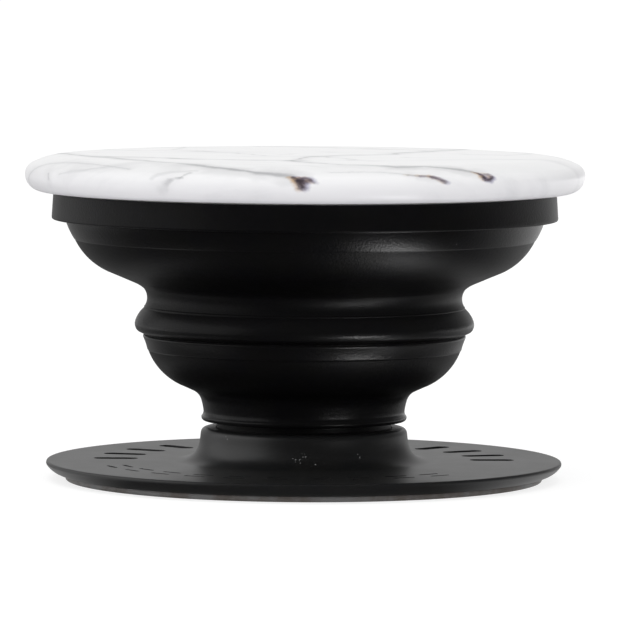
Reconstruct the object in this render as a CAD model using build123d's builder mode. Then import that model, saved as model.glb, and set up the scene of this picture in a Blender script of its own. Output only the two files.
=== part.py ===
from build123d import *
from math import atan2, degrees
import os

# Collapsible phone grip, drawn out to its full height, in millimetres.
# The frame's origin is the middle of the sticky face, and +Z runs up the axis to the button.

# Base: sticky pad, plate and collar
pad_diameter = 34.2
pad_thickness = 0.4
plate_diameter = 36.9
plate_thickness = 0.95
plate_edge_setback = 1.1
plate_edge_land = 0.3
plate_edge_bulge = 0.14
plate_edge_round = 0.1
collar_foot_diameter = 15.2
collar_height = 2.35
collar_draft = 6.0
collar_foot_round = 1.15
collar_top_round = 0.42

# Moulded marks in the plate's top face
mark_circle_diameter = 27.0
mark_length = 3.2
mark_width = 1.15
mark_depth = 0.2
mark_count = 13
mark_span = 176.0
mark_middle = 90.0
tick_circle_diameter = 29.6
tick_row_pitch = 1.2
tick_length = 1.7
tick_width = 0.3
tick_count = 12
tick_span = 132.0
tick_middle = 270.0

# Tail of the accordion, which snaps through the collar and turns in it
tail_diameter = 12.5
tail_wall = 1.3
swivel_clearance = 0.05
lip_overhang = 0.95
lip_height = 1.0
lip_lead_in = 0.5
lip_side_clearance = 0.25
lip_end_clearance = 0.15
snap_shoulder_height = 0.35

# Accordion, from the rim above the collar up to the flange
rim_gap = 0.5
rim_diameter = 14.64
rim_height = 0.5
neck_diameter = 14.36
neck_height = 1.48
lower_hinge_overhang = 0.37
lower_bowl_diameter = 22.5
lower_bowl_height = 3.22
lower_bowl_bulge = 0.4
lower_floor_width = 1.05
lower_floor_rise = 0.49
lower_band_overhang = 0.3
lower_band_height = 1.0
crease_depth = 0.06
ring_overhang = 0.6
ring_skirt_height = 0.45
ring_height = 1.5
ring_bulge = 0.2
waist_diameter = 22.6
waist_height = 1.6
waist_lead = 0.15
waist_hollow = 0.33
upper_hinge_overhang = 0.55
upper_bowl_diameter = 33.0
upper_bowl_height = 3.2
upper_bowl_bulge = 0.36
upper_floor_width = 1.9
upper_floor_rise = 0.81
upper_band_overhang = 0.63
upper_band_height = 1.45
panel_wall = 1.1
hinge_wall = 0.75
flange_diameter = 36.2
flange_taper = 0.12
flange_height = 1.89
flange_round = 0.22
flange_wall = 1.7

# Button: glue ring and disc
bond_thickness = 0.12
bond_setback = 0.25
disc_diameter = 40.0
disc_upper_thickness = 1.35
disc_lower_thickness = 1.21
disc_shoulder = 2.8
disc_edge_round = 0.9
disc_recess_depth = 1.2
locating_ring_height = 0.8
locating_ring_width = 1.1
locating_clearance = 0.15

# Levels, stacked from the sticky face upwards
plate_top = pad_thickness + plate_thickness
collar_top = plate_top + collar_height
rim_bottom = collar_top + rim_gap
rim_top = rim_bottom + rim_height
lower_hinge = rim_top + neck_height
lower_floor = lower_hinge + lower_floor_rise
lower_crease = lower_hinge + lower_bowl_height
ring_root = lower_crease + lower_band_height
ring_skirt = ring_root + ring_skirt_height
ring_crown = ring_skirt + ring_height
upper_hinge = ring_crown + waist_height
upper_floor = upper_hinge + upper_floor_rise
upper_crease = upper_hinge + upper_bowl_height
flange_bottom = upper_crease + upper_band_height
flange_top = flange_bottom + flange_height
disc_bottom = flange_top + bond_thickness
disc_middle = disc_bottom + disc_lower_thickness
disc_top = disc_middle + disc_upper_thickness
snap_shoulder = plate_top + snap_shoulder_height
lip_top = snap_shoulder - lip_end_clearance
tail_bottom = lip_top - lip_height

# Radii
plate_radius = plate_diameter / 2
tail_radius = tail_diameter / 2
tail_bore = tail_radius - tail_wall
lip_radius = tail_radius + lip_overhang
collar_bore = tail_radius + swivel_clearance
lip_chamber = lip_radius + lip_side_clearance
rim_radius = rim_diameter / 2
neck_radius = neck_diameter / 2
lower_hinge_radius = neck_radius + lower_hinge_overhang
lower_floor_radius = lower_hinge_radius + lower_floor_width
lower_bowl_radius = lower_bowl_diameter / 2
lower_band_radius = lower_bowl_radius + lower_band_overhang
ring_radius = lower_band_radius + ring_overhang
waist_radius = waist_diameter / 2
upper_hinge_radius = waist_radius + upper_hinge_overhang
upper_floor_radius = upper_hinge_radius + upper_floor_width
upper_bowl_radius = upper_bowl_diameter / 2
upper_band_radius = upper_bowl_radius + upper_band_overhang
flange_radius = flange_diameter / 2
flange_top_radius = flange_radius - flange_taper
flange_bore = flange_radius - flange_wall
disc_radius = disc_diameter / 2
locating_radius = flange_bore - locating_clearance
recess_radius = locating_radius - locating_ring_width

# The button's upper edge is a small round that runs smoothly into a wide one
shoulder_reach = disc_shoulder - disc_edge_round
shoulder_round = (
    (shoulder_reach**2 + disc_upper_thickness**2 - disc_edge_round**2)
    / (2 * (disc_upper_thickness - disc_edge_round))
)
shoulder_angle = degrees(atan2(shoulder_round - disc_upper_thickness, shoulder_reach))

# Sticky gel pad, a little smaller than the underside of the plate
with BuildPart() as adhesive_pad:
    with BuildSketch(Plane.XY):
        Circle(pad_diameter / 2)
    extrude(amount=pad_thickness)

# Plate with the collar that carries the accordion
with BuildPart() as base_plate:
    with BuildSketch(Plane.XZ):
        with BuildLine():
            SagittaArc(
                (plate_radius - plate_edge_setback, pad_thickness),
                (plate_radius, plate_top - plate_edge_land),
                -plate_edge_bulge,
            )
            Polyline(
                (plate_radius, plate_top - plate_edge_land),
                (plate_radius, plate_top),
                (0, plate_top),
                (0, pad_thickness),
                (plate_radius - plate_edge_setback, pad_thickness),
            )
        make_face()
    revolve(axis=Axis.Z)
    with BuildSketch(Plane.XY.offset(plate_top)):
        Circle(collar_foot_diameter / 2)
    extrude(amount=collar_height, taper=collar_draft)
    face_rings = base_plate.edges().filter_by_position(Axis.Z, plate_top, plate_top)
    fillet(face_rings.sort_by(SortBy.RADIUS)[0], radius=collar_foot_round)
    face_rings = base_plate.edges().filter_by_position(Axis.Z, plate_top, plate_top)
    fillet(face_rings.sort_by(SortBy.RADIUS)[-1], radius=plate_edge_round)
    fillet(base_plate.edges().group_by(Axis.Z)[-1], radius=collar_top_round)

    # Bearing bore for the tail, opened out below for the snap lip
    with Locations(Plane((0, 0, pad_thickness), z_dir=(0, 0, -1))):
        CounterBoreHole(
            radius=collar_bore,
            counter_bore_radius=lip_chamber,
            counter_bore_depth=snap_shoulder - pad_thickness,
        )

    # Sunk marks round the back half and two rows of fine ticks round the front half
    with BuildSketch(Plane.XY.offset(plate_top)):
        mark_start = mark_middle - mark_span / 2
        with PolarLocations(mark_circle_diameter / 2, mark_count, mark_start, mark_span, endpoint=True):
            SlotOverall(mark_length, mark_width)
        tick_start = tick_middle - tick_span / 2
        for row in range(2):
            row_radius = tick_circle_diameter / 2 - row * tick_row_pitch
            with PolarLocations(row_radius, tick_count, tick_start, tick_span, endpoint=True):
                SlotOverall(tick_length, tick_width, rotation=90)
    extrude(amount=-mark_depth, mode=Mode.SUBTRACT)

# Accordion: one moulding with two bowls that fold into each other at the neck and the waist
with BuildPart() as accordion:
    with BuildSketch(Plane.XZ):
        with BuildLine():
            # Tail and snap lip
            Polyline(
                (tail_bore, tail_bottom),
                (lip_radius - lip_lead_in, tail_bottom),
                (lip_radius, tail_bottom + lip_lead_in),
                (lip_radius, lip_top),
                (tail_radius, lip_top),
                (tail_radius, rim_bottom),
                (rim_radius - rim_height / 4, rim_bottom),
            )
            # Rim, neck and lower bowl
            SagittaArc(
                (rim_radius - rim_height / 4, rim_bottom),
                (neck_radius, rim_top),
                -rim_height / 3,
            )
            SagittaArc((neck_radius, rim_top), (lower_hinge_radius, lower_hinge), crease_depth)
            Line((lower_hinge_radius, lower_hinge), (lower_floor_radius, lower_floor))
            SagittaArc(
                (lower_floor_radius, lower_floor),
                (lower_bowl_radius - crease_depth, lower_crease),
                -lower_bowl_bulge,
            )
            Polyline(
                (lower_bowl_radius - crease_depth, lower_crease),
                (lower_bowl_radius, lower_crease + crease_depth),
                (lower_band_radius, ring_root),
                (ring_radius, ring_skirt),
            )
            # Middle ring, waist and upper bowl
            SagittaArc(
                (ring_radius, ring_skirt),
                (waist_radius + waist_lead, ring_crown),
                -ring_bulge,
            )
            SagittaArc(
                (waist_radius + waist_lead, ring_crown),
                (upper_hinge_radius, upper_hinge),
                waist_hollow,
            )
            Line((upper_hinge_radius, upper_hinge), (upper_floor_radius, upper_floor))
            SagittaArc(
                (upper_floor_radius, upper_floor),
                (upper_bowl_radius - crease_depth, upper_crease),
                -upper_bowl_bulge,
            )
            # Upper band and flange
            Polyline(
                (upper_bowl_radius - crease_depth, upper_crease),
                (upper_bowl_radius, upper_crease + crease_depth),
                (upper_band_radius, flange_bottom),
                (flange_radius - flange_round, flange_bottom),
                (flange_radius, flange_bottom + flange_round),
                (flange_top_radius, flange_top),
                (flange_bore, flange_top),
            )
            # Inside of the walls, from the flange back down to the tail
            Polyline(
                (flange_bore, flange_top),
                (flange_bore, flange_bottom + panel_wall / 2),
                (upper_bowl_radius - panel_wall, upper_crease + panel_wall / 2),
            )
            SagittaArc(
                (upper_bowl_radius - panel_wall, upper_crease + panel_wall / 2),
                (upper_floor_radius - panel_wall / 2, upper_floor + panel_wall),
                upper_bowl_bulge,
            )
            Polyline(
                (upper_floor_radius - panel_wall / 2, upper_floor + panel_wall),
                (upper_hinge_radius - panel_wall / 2, upper_hinge + panel_wall),
                (waist_radius - hinge_wall, upper_hinge),
                (waist_radius - hinge_wall, ring_crown),
                (lower_bowl_radius - panel_wall, ring_root),
                (lower_bowl_radius - panel_wall, lower_crease + panel_wall / 2),
            )
            SagittaArc(
                (lower_bowl_radius - panel_wall, lower_crease + panel_wall / 2),
                (lower_floor_radius - panel_wall / 2, lower_floor + panel_wall),
                lower_bowl_bulge,
            )
            Polyline(
                (lower_floor_radius - panel_wall / 2, lower_floor + panel_wall),
                (lower_hinge_radius - panel_wall / 2, lower_hinge + panel_wall),
                (neck_radius - hinge_wall, lower_hinge),
                (neck_radius - hinge_wall, rim_top),
                (tail_bore, rim_bottom),
                (tail_bore, tail_bottom),
            )
        make_face()
    revolve(axis=Axis.Z)

# Glue ring between the flange and the button
with BuildPart() as bond_ring:
    with BuildSketch(Plane.XY.offset(flange_top)):
        Circle(flange_top_radius - bond_setback)
        Circle(flange_bore + bond_setback, mode=Mode.SUBTRACT)
    extrude(amount=bond_thickness)

# Button with a rounded edge, a hollowed underside and a ring that sits inside the flange
with BuildPart() as top_disc:
    with BuildSketch(Plane.XZ):
        with BuildLine():
            Polyline(
                (0, disc_bottom + disc_recess_depth),
                (0, disc_top),
                (disc_radius - disc_shoulder, disc_top),
            )
            CenterArc(
                (disc_radius - disc_shoulder, disc_top - shoulder_round),
                shoulder_round,
                shoulder_angle,
                90 - shoulder_angle,
            )
            CenterArc((disc_radius - disc_edge_round, disc_middle), disc_edge_round, 0, shoulder_angle)
            CenterArc((disc_radius - disc_lower_thickness, disc_middle), disc_lower_thickness, 270, 90)
            Polyline(
                (disc_radius - disc_lower_thickness, disc_bottom),
                (locating_radius, disc_bottom),
                (locating_radius, disc_bottom - locating_ring_height),
                (recess_radius, disc_bottom - locating_ring_height),
                (recess_radius, disc_bottom + disc_recess_depth),
                (0, disc_bottom + disc_recess_depth),
            )
        make_face()
    revolve(axis=Axis.Z)

adhesive_pad.part.label = "adhesive_pad"
base_plate.part.label = "base_plate"
accordion.part.label = "accordion"
bond_ring.part.label = "bond_ring"
top_disc.part.label = "top_disc"

os.makedirs("parts", exist_ok=True)
export_step(adhesive_pad.part, "parts/adhesive_pad.step")
export_step(base_plate.part, "parts/base_plate.step")
export_step(accordion.part, "parts/accordion.step")
export_step(bond_ring.part, "parts/bond_ring.step")
export_step(top_disc.part, "parts/top_disc.step")
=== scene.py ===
import logging
import math
from dataclasses import dataclass, field
from enum import Enum
from typing import Any, ClassVar, Optional, Sequence, Union

import bmesh
import bpy
from mathutils import Euler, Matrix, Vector


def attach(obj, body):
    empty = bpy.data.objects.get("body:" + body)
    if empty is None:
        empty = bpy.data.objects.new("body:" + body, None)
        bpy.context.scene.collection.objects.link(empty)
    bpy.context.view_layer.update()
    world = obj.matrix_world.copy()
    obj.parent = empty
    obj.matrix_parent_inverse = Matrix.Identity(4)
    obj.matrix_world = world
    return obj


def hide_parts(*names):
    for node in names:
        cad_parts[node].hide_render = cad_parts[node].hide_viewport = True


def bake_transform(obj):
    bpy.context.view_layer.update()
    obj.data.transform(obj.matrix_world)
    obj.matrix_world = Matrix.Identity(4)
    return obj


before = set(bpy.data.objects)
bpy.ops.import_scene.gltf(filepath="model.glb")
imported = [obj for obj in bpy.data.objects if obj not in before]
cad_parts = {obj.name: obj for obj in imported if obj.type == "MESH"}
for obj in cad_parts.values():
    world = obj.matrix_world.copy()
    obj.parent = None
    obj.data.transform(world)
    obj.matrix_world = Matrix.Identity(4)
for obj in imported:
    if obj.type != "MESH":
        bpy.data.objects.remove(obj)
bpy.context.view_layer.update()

MM = 0.001
DULL = "dull"
FLAT = (1.0, 1.0, 0.0)
HALF = (0.5, 0.5, 0.5)
log = logging.getLogger("phone_grip")

Point = tuple[float, float]
Triple = tuple[float, float, float]
Number = Union[float, int]
Operand = Union["Value", Number]
Socket = Union[str, int]


class Body(Enum):
    """The bodies that the pieces ride on."""

    BASE = "base"
    ACCORDION = "accordion"
    BUTTON = "button"


class Slot(Enum):
    """The record's material slots."""

    BUTTON = "marble_button"
    GLUE = "clear_glue"
    RUBBER = "accordion_rubber"
    PLASTIC = "base_plastic"
    GEL = "gel_pad"


class Value:
    """A number, colour or vector that comes out of a node, with Python's operators for numbers."""

    def __init__(self, nodes: "Nodes", socket: bpy.types.NodeSocket) -> None:
        """Wraps one output socket of a tree."""
        self.nodes = nodes
        self.socket = socket

    def out(self, name: Socket) -> "Value":
        """Gives another output of the same node."""
        return Value(self.nodes, self.socket.node.outputs[name])

    def math(self, operation: str, *others: Operand) -> "Value":
        """Adds a Math node on this number.

        Args:
            operation: the Math node's operation.
            others: its second and third numbers.

        Returns:
            The node's result.
        """
        inputs = dict(enumerate((self, *others)))
        return self.nodes.node("ShaderNodeMath", {"operation": operation}, inputs)

    def reflected(self, operation: str, other: Number) -> "Value":
        """Adds a Math node with a plain number first and this one second."""
        return self.nodes.node("ShaderNodeMath", {"operation": operation}, {0: other, 1: self})

    def __add__(self, other: Operand) -> "Value":
        """Sum."""
        return self.math("ADD", other)

    __radd__ = __add__

    def __sub__(self, other: Operand) -> "Value":
        """Difference."""
        return self.math("SUBTRACT", other)

    def __rsub__(self, other: Number) -> "Value":
        """Difference from a plain number."""
        return self.reflected("SUBTRACT", other)

    def __mul__(self, other: Operand) -> "Value":
        """Product."""
        return self.math("MULTIPLY", other)

    __rmul__ = __mul__

    def __truediv__(self, other: Operand) -> "Value":
        """Quotient."""
        return self.math("DIVIDE", other)

    def __rtruediv__(self, other: Number) -> "Value":
        """Quotient of a plain number."""
        return self.reflected("DIVIDE", other)

    def __mod__(self, other: Operand) -> "Value":
        """Remainder."""
        return self.math("MODULO", other)

    def __abs__(self) -> "Value":
        """Size without sign."""
        return self.math("ABSOLUTE")

    def least(self, other: Operand) -> "Value":
        """The smaller of two numbers."""
        return self.math("MINIMUM", other)

    def most(self, other: Operand) -> "Value":
        """The larger of two numbers."""
        return self.math("MAXIMUM", other)

    def band(self, low: float, high: float) -> "Value":
        """Eases from 0 at low to 1 at high, or the other way round where low is the larger.

        Args:
            low: the number that gives 0.
            high: the number that gives 1.

        Returns:
            The eased number.
        """
        if low < high:
            return self._ease(low, high)
        return 1 - self._ease(high, low)

    def _ease(self, low: float, high: float) -> "Value":
        """Smooth step from low up to high."""
        inputs = {"Value": self, "From Min": low, "From Max": high}
        return self.nodes.node("ShaderNodeMapRange", {"interpolation_type": "SMOOTHSTEP"}, inputs)


class Nodes:
    """Builds one node tree, for a material, the world or Geometry Nodes."""

    def __init__(self, tree: bpy.types.NodeTree) -> None:
        """Takes over a tree and empties it."""
        self.tree = tree
        tree.nodes.clear()

    def node(
        self,
        kind: str,
        settings: Optional[dict[str, Any]] = None,
        inputs: Optional[dict[Socket, Any]] = None,
        output: Socket = 0,
    ) -> Value:
        """Adds a node, sets it up and feeds its sockets.

        Args:
            kind: the node's type.
            settings: its own properties, set before the sockets.
            inputs: socket name or number to a value or to another node's output.
            output: the output to hand back.

        Returns:
            That output, or the first input where the node has no outputs.
        """
        made = self.tree.nodes.new(kind)
        for name, setting in (settings or {}).items():
            setattr(made, name, setting)
        for name, given in (inputs or {}).items():
            if isinstance(given, Value):
                self.tree.links.new(given.socket, made.inputs[name])
            else:
                made.inputs[name].default_value = given
        sockets = made.outputs if len(made.outputs) else made.inputs
        return Value(self, sockets[output])

    def vector(self, operation: str, *given: Any, output: Socket = 0) -> Value:
        """Adds a Vector Math node."""
        return self.node("ShaderNodeVectorMath", {"operation": operation}, dict(enumerate(given)), output)

    def scale(self, given: Any, amount: Operand) -> Value:
        """Multiplies a vector by a number."""
        return self.node("ShaderNodeVectorMath", {"operation": "SCALE"}, {0: given, "Scale": amount})

    def length(self, given: Value) -> Value:
        """Length of a vector."""
        return self.vector("LENGTH", given, output="Value")

    def split(self, given: Value) -> Value:
        """Splits a vector into the outputs X, Y and Z, and hands back X."""
        return self.node("ShaderNodeSeparateXYZ", {}, {0: given})

    def mix(self, factor: Operand, low: Any, high: Any) -> Value:
        """Mixes two colours.

        Args:
            factor: 0 for the low colour, 1 for the high one.
            low: a colour or a colour output.
            high: a colour or a colour output.

        Returns:
            The mixed colour.
        """
        low, high = (c if isinstance(c, Value) else (*c, 1.0) for c in (low, high))
        return self.node("ShaderNodeMix", {"data_type": "RGBA"}, {0: factor, 6: low, 7: high}, 2)

    def noise(self, at: Value, scale: float, detail: float = 2.0, roughness: float = 0.5) -> Value:
        """Adds a Noise Texture; its first output is the number and "Color" three numbers at once."""
        inputs = {"Vector": at, "Scale": scale, "Detail": detail, "Roughness": roughness}
        return self.node("ShaderNodeTexNoise", {}, inputs)

    def jitter(self, at: Value, scale: float) -> Value:
        """Three numbers about 0 that change together over a surface."""
        return self.vector("SUBTRACT", self.noise(at, scale).out("Color"), HALF)


def millimetres(nodes: Nodes) -> Value:
    """Gives a material the place on the piece, in millimetres."""
    return nodes.scale(nodes.node("ShaderNodeTexCoord", output="Object"), 1 / MM)


def new_material(name: str, colour: Sequence[float]) -> tuple[bpy.types.Material, Nodes]:
    """Starts a material.

    Args:
        name: its name.
        colour: the plain colour that stands for it in a viewport.

    Returns:
        The material and its empty tree.
    """
    material = bpy.data.materials.new(name)
    material.use_nodes = True
    material.diffuse_color = (*colour, 1.0)
    return material, Nodes(material.node_tree)


@dataclass(frozen=True)
class Vein:
    """One vein of the marble print, in millimetres across the button's face laid flat.

    Attributes:
        points: where it runs, seen from above.
        width: how far its line reaches to either side.
        depth: how dark it is, 0 to 1.
        halo: how much of that the soft grey beside it has.
    """

    points: tuple[Point, ...]
    width: float
    depth: float
    halo: float = 0.42

    def away(self, place: Value) -> Value:
        """Finds how far a place on the print is from the vein.

        Args:
            place: the place.

        Returns:
            The distance to the vein's nearest run, in millimetres.
        """
        nodes = place.nodes
        nearest: Optional[Value] = None
        for start, end in zip(self.points, self.points[1:]):
            run = Vector((end[0] - start[0], end[1] - start[1], 0.0))
            offset = nodes.vector("SUBTRACT", place, (*start, 0.0))
            share = nodes.vector("DOT_PRODUCT", offset, tuple(run / run.length_squared), output="Value")
            along = nodes.scale(tuple(run), share.most(0.0).least(1.0))
            reach = nodes.length(nodes.vector("SUBTRACT", offset, along))
            nearest = reach if nearest is None else nearest.least(reach)
        return nearest


VEINS = (
    Vein(
        (
            (-22.6, 12.4), (-19.6, 6.0), (-14.9, -3.9), (-10.8, -11.8),
            (-6.9, -17.1), (-3.5, -19.6), (-1.1, -20.6),
        ),
        0.55,
        0.62,
    ),
    Vein(((-13.6, -4.0), (-8.8, -6.5), (-5.3, -7.7), (-1.4, -8.8)), 0.46, 0.64),
    Vein(
        ((-1.4, -8.8), (-0.4, -5.2), (2.5, 0.5), (6.1, 2.8), (9.1, 8.7), (15.0, 17.4), (16.8, 19.8)),
        0.5,
        0.52,
    ),
    Vein(((-1.4, -8.8), (2.4, -15.6), (6.3, -17.1), (8.2, -16.2), (11.8, -16.0)), 0.46, 0.58),
    Vein(((1.8, -19.7), (5.3, -19.0), (7.4, -19.0)), 0.22, 0.22),
    Vein(((1.8, -1.4), (3.5, -8.1)), 0.3, 0.3),
    Vein(
        ((-22.4, -4.4), (-20.8, -5.7), (-18.6, -7.0), (-16.4, -9.6), (-14.2, -13.0), (-12.5, -15.5)),
        0.26,
        0.24,
    ),
    Vein(((-18.5, -11.0), (-16.1, -12.8), (-14.3, -13.6)), 0.4, 0.18),
    Vein(((-19.4, -9.4), (-19.9, -9.9)), 0.4, 0.28),
    Vein(((-9.2, -19.2), (-8.75, -18.95), (-8.2, -18.6)), 0.38, 0.34, 0.1),
    Vein(((-9.35, -19.15), (-8.95, -19.2)), 0.5, 0.4, 0.1),
    Vein(((-10.4, -19.4), (-9.9, -19.15)), 0.52, 0.42, 0.1),
    Vein(((-9.9, -19.1), (-9.3, -19.0)), 0.5, 0.12, 0.1),
    Vein(((-11.1, -19.7), (-10.7, -19.85)), 0.5, 0.16, 0.1),
    Vein(((-11.35, -18.25), (-10.6, -17.9), (-9.3, -17.85), (-8.4, -18.1), (-7.6, -18.25)), 0.42, 0.2, 0.1),
    Vein(((8.3, -19.35), (9.2, -19.2), (9.7, -19.0)), 0.45, 0.16, 0.1),
    Vein(((-13.2, 21.4), (-9.4, 19.6), (0.3, 14.8), (4.0, 13.5), (9.1, 8.7)), 0.36, 0.36),
    Vein(((-12.4, 22.0), (-8.8, 13.6), (-9.8, 8.4), (-4.4, 3.6), (-2.8, -1.2)), 0.22, 0.24),
    Vein(((-7.1, 6.0), (-13.4, 7.4), (-17.6, 12.2), (-20.2, 16.0)), 0.2, 0.22),
    Vein(((11.0, 3.6), (14.2, 2.2), (16.6, 5.4), (22.2, 8.4)), 0.22, 0.24),
)
DARK_ENDS = (
    Vein(((-0.82, -20.86), (-0.5, -21.3)), 0.26, 0.9),
    Vein(((-0.42, -21.45), (-0.15, -22.2)), 0.4, 0.95),
    Vein(((-0.4, -21.3), (0.05, -21.55)), 0.42, 0.92),
    Vein(((-0.25, -21.05), (0.2, -21.0), (0.42, -21.3)), 0.34, 0.66),
    Vein(((0.42, -21.3), (0.75, -21.65)), 0.2, 0.4),
    Vein(((12.2, -16.1), (12.6, -16.22)), 0.2, 0.5),
    Vein(((12.6, -16.22), (13.1, -16.45)), 0.28, 0.8),
    Vein(((13.15, -16.6), (13.45, -16.72), (13.72, -16.52), (13.74, -16.15)), 0.34, 0.94),
    Vein(((13.05, -15.95), (13.4, -15.85)), 0.28, 0.42),
    Vein(((7.4, -19.1), (8.3, -18.95)), 0.2, 0.24),
    Vein(((8.3, -18.95), (9.2, -18.72)), 0.24, 0.4),
    Vein(((9.2, -18.74), (9.9, -18.82), (10.45, -19.0)), 0.28, 0.66),
)


@dataclass(frozen=True)
class MarbleFinish:
    """White plastic printed with marble under a smooth clear coat.

    Attributes:
        white: the ground.
        cloud: the palest grey of the ground.
        grey: the veins.
        dark: the dark ends of veins.
        fringe: the colours that a dark end bleeds to, left and right.
        fringe_shift: how far to the side they lie, in millimetres.
        fringe_reach: where a fringe starts and where it is full, in widths of the dark end.
        fringe_depth: how strong a fringe is.
        end_reach: where a dark end starts and where it is full, in widths of it.
        end_mottle: how much the dark ends' cover changes.
        halo_reach: how far the soft grey beside a vein goes, in widths of it.
        swell: the thinnest and the thickest share of a vein's width.
        bends: waves of the veins: how many to the millimetre, their reach, and what the middle adds.
        calm: distances from the middle where that added reach has ended and where it is full.
        grain_turn: the direction that the clouds and threads run in, in degrees.
        grain_scale: how the clouds and threads are drawn out along it.
        cloud_depth: how strong the clouds are.
        thread_depth: how strong the threads are.
        thread_edge: distances from the middle where the threads have ended and where they are full.
        roughness: how matt the coat is.
        specular: strength of its reflection.
        face_level: height of the button's flat face, in millimetres.
        wrap: how far the print runs down the edge for each millimetre of height.
        veins: the veins.
        dark_ends: the short dark ends that some of them run into at the edge.
    """

    # Levels of noise between which each effect sets in
    SWOLLEN: ClassVar[Point] = (0.3, 0.7)
    MOTTLED: ClassVar[Point] = (0.3, 0.6)
    CLOUDED: ClassVar[Point] = (0.5, 0.8)
    THREADED: ClassVar[Point] = (0.42, 0.62)
    THREAD_LEVEL: ClassVar[float] = 0.47
    THREAD_WIDTH: ClassVar[float] = 0.012

    white: Triple = (0.865, 0.865, 0.87)
    cloud: Triple = (0.6, 0.605, 0.62)
    grey: Triple = (0.3, 0.3, 0.315)
    dark: Triple = (0.05, 0.038, 0.045)
    fringe: tuple[Triple, Triple] = ((0.5, 0.34, 0.2), (0.26, 0.24, 0.38))
    fringe_shift: Point = (-0.2, 0.17)
    fringe_reach: Point = (1.5, 0.3)
    fringe_depth: float = 0.7
    end_reach: Point = (1.15, 0.1)
    end_mottle: float = 0.3
    halo_reach: float = 3.8
    swell: Point = (0.45, 1.4)
    bends: tuple[Triple, ...] = ((0.16, 0.1, 4.0), (0.7, 0.22, 1.1), (3.2, 0.24, 0.0))
    calm: Point = (18.5, 12.0)
    grain_turn: float = 38.0
    grain_scale: Triple = (0.3, 1.0, 1.0)
    cloud_depth: float = 0.5
    thread_depth: float = 0.3
    thread_edge: Point = (19.5, 16.0)
    roughness: float = 0.3
    specular: float = 0.22
    face_level: float = 23.17
    wrap: float = 1.6
    veins: tuple[Vein, ...] = VEINS
    dark_ends: tuple[Vein, ...] = DARK_ENDS

    def make(self) -> bpy.types.Material:
        """Builds the material.

        Returns:
            The material.
        """
        material, nodes = new_material("marble_print", self.white)
        place = self._flatten(millimetres(nodes))
        bent = self._bend(place)
        thin, thick = self.swell
        swell = nodes.noise(place, scale=0.33).band(*self.SWOLLEN) * (thick - thin) + thin
        colour = self._clouds(place, bent)
        for vein in self.veins:
            colour = self._add_vein(colour, bent, swell, vein)
        for end in self.dark_ends:
            colour = self._add_fringe(colour, bent, end)
        mottle = nodes.noise(place, scale=2.4).band(*self.MOTTLED)
        mottle = mottle * self.end_mottle + (1 - self.end_mottle)
        start, full = self.end_reach
        for end in self.dark_ends:
            away = end.away(bent)
            cover = away.band(end.width * start, end.width * full) * mottle * end.depth
            colour = nodes.mix(cover, colour, self.dark)
        inputs = {"Base Color": colour, "Roughness": self.roughness, "Specular IOR Level": self.specular}
        shader = nodes.node("ShaderNodeBsdfPrincipled", {}, inputs)
        nodes.node("ShaderNodeOutputMaterial", {}, {"Surface": shader})
        return material

    def _flatten(self, place: Value) -> Value:
        """Lays the print out flat, so that what runs over the edge lies further from the middle.

        Args:
            place: the place on the piece.

        Returns:
            The place on the print.
        """
        nodes = place.nodes
        drop = self.face_level - nodes.split(place).out("Z")
        flat = nodes.vector("MULTIPLY", place, FLAT)
        return nodes.scale(flat, 1 + drop * self.wrap / nodes.length(flat).most(1.0))

    def _bend(self, place: Value) -> Value:
        """Shifts the place a little, more in the middle than at the edge, so that veins wander and fray.

        Args:
            place: the place on the print.

        Returns:
            The shifted place.
        """
        nodes = place.nodes
        inner = nodes.length(place).band(*self.calm)
        bent = place
        for scale, reach, added in self.bends:
            shift = nodes.vector("MULTIPLY", nodes.jitter(place, scale), FLAT)
            bent = nodes.vector("ADD", bent, nodes.scale(shift, inner * added + reach))
        return bent

    def _clouds(self, place: Value, bent: Value) -> Value:
        """White ground with faint grey clouds and, on the face, thin threads that run one way.

        Args:
            place: the place on the print.
            bent: the place, shifted as for the veins.

        Returns:
            The ground's colour.
        """
        nodes = place.nodes
        turn = (0.0, 0.0, math.radians(self.grain_turn))
        inputs = {"Vector": bent, "Rotation": turn, "Scale": self.grain_scale}
        along = nodes.node("ShaderNodeMapping", {"vector_type": "POINT"}, inputs)
        cloud = nodes.noise(along, scale=0.2, detail=5.0, roughness=0.6)
        colour = nodes.mix(cloud.band(*self.CLOUDED) * self.cloud_depth, self.white, self.cloud)
        thread = abs(nodes.noise(along, scale=0.13, roughness=0.4) - self.THREAD_LEVEL)
        face = nodes.length(place).band(*self.thread_edge)
        cover = thread.band(self.THREAD_WIDTH, 0.0) * face * cloud.band(*self.THREADED)
        return nodes.mix(cover * self.thread_depth, colour, self.grey)

    def _add_vein(self, colour: Value, bent: Value, swell: Value, vein: Vein) -> Value:
        """Lays one vein over the colour so far.

        Args:
            colour: the colour so far.
            bent: the place, shifted.
            swell: how thick veins are there.
            vein: the vein.

        Returns:
            The colour with the vein.
        """
        away = vein.away(bent) / swell
        halo = away.band(vein.width * self.halo_reach, 0.0) * (vein.depth * vein.halo)
        colour = bent.nodes.mix(halo, colour, self.grey)
        return bent.nodes.mix(away.band(vein.width, 0.0) * vein.depth, colour, self.grey)

    def _add_fringe(self, colour: Value, bent: Value, end: Vein) -> Value:
        """Lays the colours that a dark end bleeds to at its left and right.

        Args:
            colour: the colour so far.
            bent: the place, shifted.
            end: the dark end.

        Returns:
            The colour with the fringes.
        """
        nodes = bent.nodes
        start, full = self.fringe_reach
        for side, fringe in zip(self.fringe_shift, self.fringe):
            moved = nodes.vector("SUBTRACT", bent, (side, 0.0, 0.0))
            away = end.away(moved).band(end.width * start, end.width * full)
            colour = nodes.mix(away * (end.depth * self.fringe_depth), colour, fringe)
        return colour


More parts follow.
